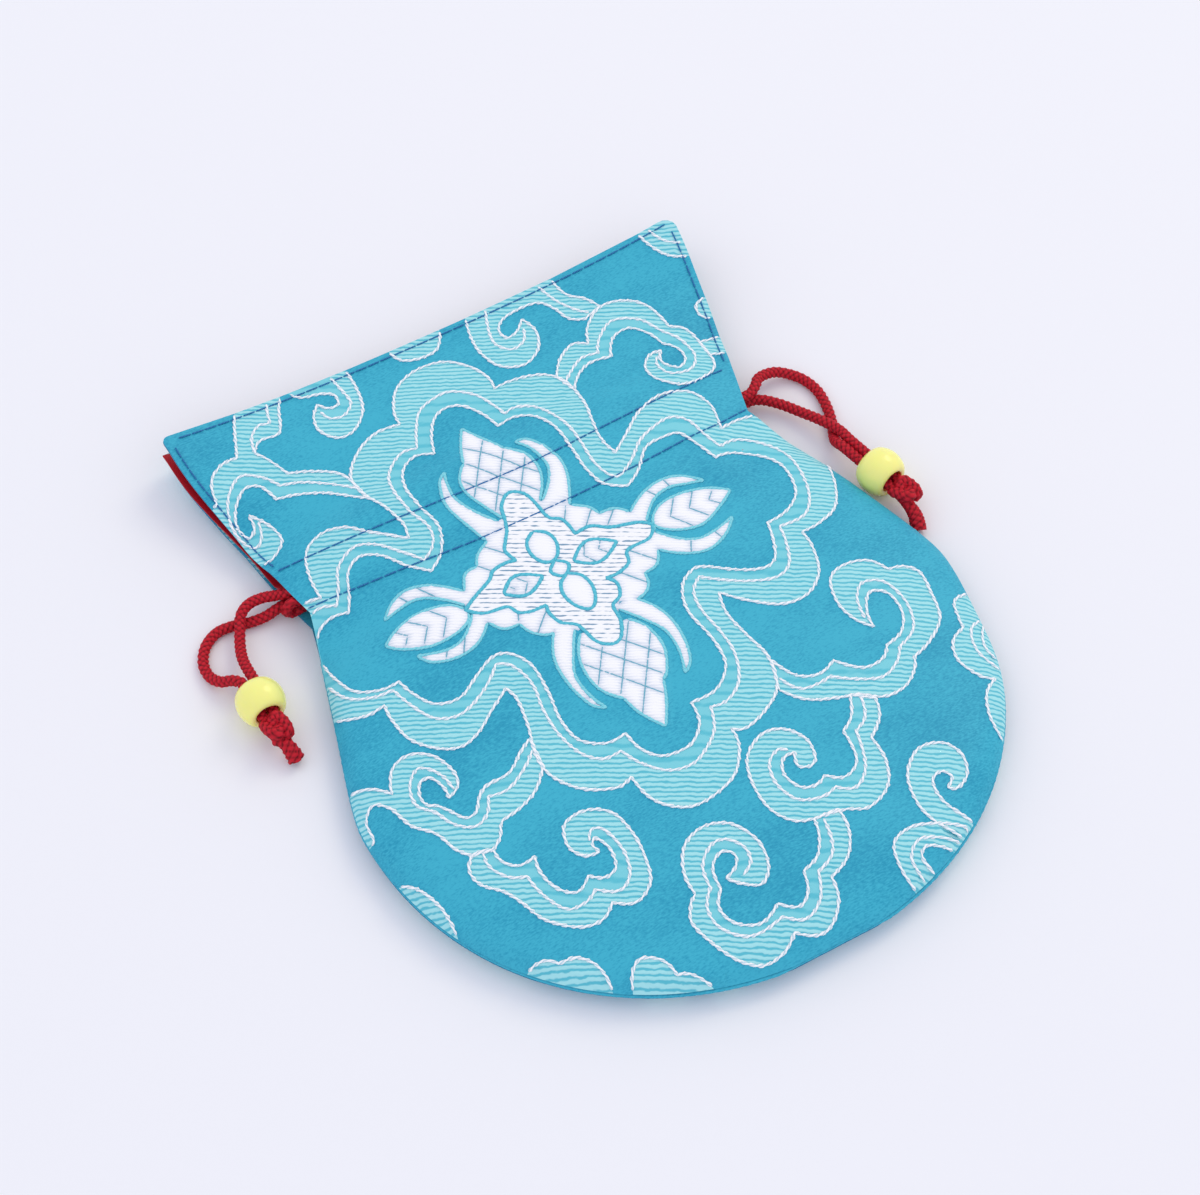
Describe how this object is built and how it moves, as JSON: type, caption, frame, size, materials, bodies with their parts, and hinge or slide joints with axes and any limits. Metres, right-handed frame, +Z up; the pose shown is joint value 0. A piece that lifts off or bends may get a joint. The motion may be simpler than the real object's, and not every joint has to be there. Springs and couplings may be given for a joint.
{
  "type": "drawstring pouch",
  "caption": "Round-bottomed brocade drawstring pouch with a flared flap mouth, red lining, red braided cords through a stitched channel, and sliding beads held by knots.",
  "frame": {"origin": "on the table under the middle of the cloth pouch, cords left out", "axes": "+X across the pouch, +Y towards the mouth, +Z up out of the front face"},
  "size_m": [0.1323, 0.148, 0.0113],
  "materials": {
    "brocade": "satin brocade with a raised cloud figure",
    "lining": "red satin",
    "cord": "braided cord",
    "bead": "glossy moulded"
  },
  "bodies": {
    "pouch": {"front_panel": "brocade", "back_panel": "brocade", "front_lining": "lining", "back_lining": "lining", "left_drawstring": "cord", "right_drawstring": "cord", "left_knot": "cord", "right_knot": "cord"},
    "left_bead": {"left_bead": "bead"},
    "right_bead": {"right_bead": "bead"}
  },
  "joints": [
    {"name": "left_bead_slide", "type": "slide", "parent": "pouch", "child": "left_bead", "axis": [0, 1, 0], "range_m": [0, 0.0018]},
    {"name": "right_bead_slide", "type": "slide", "parent": "pouch", "child": "right_bead", "axis": [-0.2201, 0.9755, 0], "range_m": [0, 0.006]}
  ]
}
